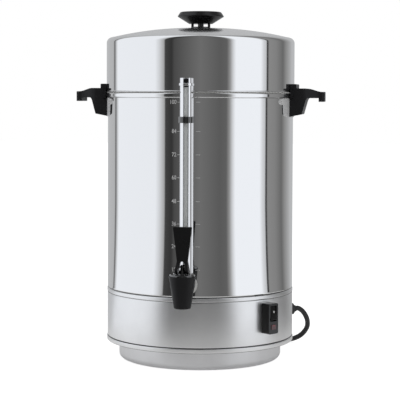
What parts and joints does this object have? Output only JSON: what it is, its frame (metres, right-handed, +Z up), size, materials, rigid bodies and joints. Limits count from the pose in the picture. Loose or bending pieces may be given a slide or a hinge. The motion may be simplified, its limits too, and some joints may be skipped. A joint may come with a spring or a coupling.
{
  "type": "coffee urn",
  "caption": "Tall aluminium percolator coffee urn with deep lid, black side handles, front faucet under a level gauge in a chrome guard, rocker switch and mains cord.",
  "frame": {"origin": "centre of the foot pan's flat bottom, on the table", "axes": "+Z up along the urn's axis, -Y towards the faucet, +X towards the handle on the right as the faucet is faced"},
  "size_m": [0.3626, 0.4521, 0.5034],
  "materials": {
    "polished_aluminium": "polished, faintly brushed along its height",
    "satin_aluminium": "satin",
    "spun_aluminium": "spun, satin",
    "chrome_plate": "bright chrome plate",
    "zinc_steel": "zinc-plated steel",
    "stainless_steel": "stainless steel",
    "black_phenolic": "moulded black phenolic, low gloss",
    "black_gloss_plastic": "glossy black plastic",
    "switch_grey": "matte dark grey plastic",
    "silicone_seal": "translucent white silicone",
    "clear_glass": "clear tube glass",
    "red_lens": "clear red plastic, lit from behind",
    "terminal_cream": "cream polyamide",
    "fuse_ceramic": "brown glazed ceramic",
    "wire_sleeve": "heat-resistant sleeved lead",
    "cord_rubber": "black rubber, satin"
  },
  "bodies": {
    "urn": {"tank": "polished_aluminium", "tank_floor": "polished_aluminium", "base_skirt": "satin_aluminium", "base_pan": "spun_aluminium", "pan_floor": "spun_aluminium", "tie_posts": "zinc_steel", "pan_screws": "zinc_steel", "handle_left": "black_phenolic", "handle_right": "black_phenolic", "handle_bracket_left": "satin_aluminium", "handle_bracket_right": "satin_aluminium", "handle_screws": "stainless_steel", "bracket_rivets": "polished_aluminium", "faucet_body": "black_phenolic", "faucet_bonnet": "black_gloss_plastic", "faucet_gaskets": "silicone_seal", "faucet_nut": "stainless_steel", "gauge_glass": "clear_glass", "gauge_guard": "chrome_plate", "gauge_plug": "black_phenolic", "gauge_collar": "chrome_plate", "gauge_clip": "black_gloss_plastic", "gauge_clip_screw": "stainless_steel", "gauge_seal": "silicone_seal", "switch_housing": "black_gloss_plastic", "switch_lamp_lens": "red_lens", "switch_module": "switch_grey", "pump_heater": "zinc_steel", "heater_plate": "zinc_steel", "heater_nut": "zinc_steel", "warm_heater": "zinc_steel", "brew_thermostat": "fuse_ceramic", "thermal_fuse": "fuse_ceramic", "terminal_block": "terminal_cream", "wiring": "wire_sleeve", "strain_relief": "cord_rubber", "relief_nut": "zinc_steel", "cord": "cord_rubber", "cord_coil": "cord_rubber", "plug_body": "cord_rubber", "plug_blades": "chrome_plate"},
    "pump": {"pump_tube": "stainless_steel", "pump_foot": "stainless_steel", "pump_chamber": "stainless_steel"},
    "pump_valve_disc": {"pump_valve": "stainless_steel"},
    "basket": {"coffee_basket": "spun_aluminium"},
    "cover": {"basket_cover": "spun_aluminium"},
    "seal": {"lid_seal": "silicone_seal"},
    "lid": {"lid_shell": "polished_aluminium", "lid_top": "polished_aluminium", "lid_knob": "black_phenolic", "lid_knob_screw": "stainless_steel", "lid_knob_washer": "stainless_steel"},
    "stem": {"faucet_stem": "black_gloss_plastic", "faucet_seat_cup": "silicone_seal", "faucet_spring": "stainless_steel", "faucet_lever_pin": "stainless_steel"},
    "lever": {"faucet_lever": "black_phenolic"},
    "rocker": {"switch_rocker": "black_gloss_plastic"}
  },
  "joints": [
    {"name": "pump_lift", "type": "slide", "parent": "urn", "child": "pump", "axis": [0, 0, 1], "range_m": [0, 0.3]},
    {"name": "valve_lift", "type": "slide", "parent": "pump", "child": "pump_valve_disc", "axis": [0, 0, 1], "range_m": [0, 0.0025]},
    {"name": "basket_lift", "type": "slide", "parent": "pump", "child": "basket", "axis": [0, 0, 1], "range_m": [0, 0.085]},
    {"name": "cover_lift", "type": "slide", "parent": "basket", "child": "cover", "axis": [0, 0, 1], "range_m": [0, 0.03]},
    {"name": "lid_lift", "type": "slide", "parent": "cover", "child": "seal", "axis": [0, 0, 1], "range_m": [0, 0.12]},
    {"name": "lid_turn", "type": "hinge", "parent": "seal", "child": "lid", "pos_m": [0, 0, 0.3867], "axis": [0, 0, -1], "range_deg": [0, 35]},
    {"name": "stem_lift", "type": "slide", "parent": "urn", "child": "stem", "axis": [0, 0, 1], "range_m": [0, 0.004], "deforming": ["faucet_spring"]},
    {"name": "lever_tilt", "type": "hinge", "parent": "stem", "child": "lever", "pos_m": [0, -0.18, 0.15225], "axis": [1, 0, 0], "range_deg": [0, 50], "stiffness_Nm_per_rad": 0.03, "springref_deg": -5.73},
    {"name": "rocker_tilt", "type": "hinge", "parent": "urn", "child": "rocker", "pos_m": [0.11222, -0.09087, 0.0789], "axis": [0.6293, 0.7771, 0], "range_deg": [0, 20]}
  ],
  "couplings": [
    {"joint": "stem_lift", "follows": "lever_tilt", "m_per_rad": 0.00458}
  ]
}
